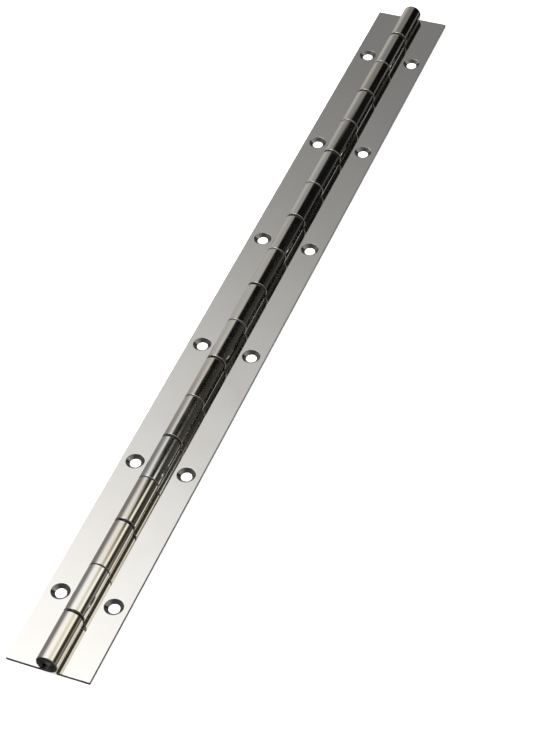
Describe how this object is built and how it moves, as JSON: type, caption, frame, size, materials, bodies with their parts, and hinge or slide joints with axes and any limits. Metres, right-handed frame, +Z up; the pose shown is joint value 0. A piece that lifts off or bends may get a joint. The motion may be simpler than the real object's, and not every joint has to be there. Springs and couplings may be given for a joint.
{
  "type": "piano hinge",
  "caption": "Continuous strip hinge: two countersunk flat leaves with interleaved rolled knuckles on one long pin, shown open flat.",
  "frame": {"origin": "middle of the hinge's length, under the pin axis, on the plane of the leaf backs", "axes": "+X across the leaves, +Y along the pin, +Z up out of the barrel side"},
  "size_m": [0.025, 0.3, 0.0064],
  "materials": {
    "leaf_steel": "polished",
    "pin_steel": "drawn, satin"
  },
  "bodies": {
    "left_side": {"left_leaf": "leaf_steel", "hinge_pin": "pin_steel"},
    "right_side": {"right_leaf": "leaf_steel"}
  },
  "joints": [
    {"name": "leaf_swing", "type": "hinge", "parent": "left_side", "child": "right_side", "pos_m": [0, 0, 0.0032], "axis": [0, -1, 0], "range_deg": [-60, 180]}
  ]
}
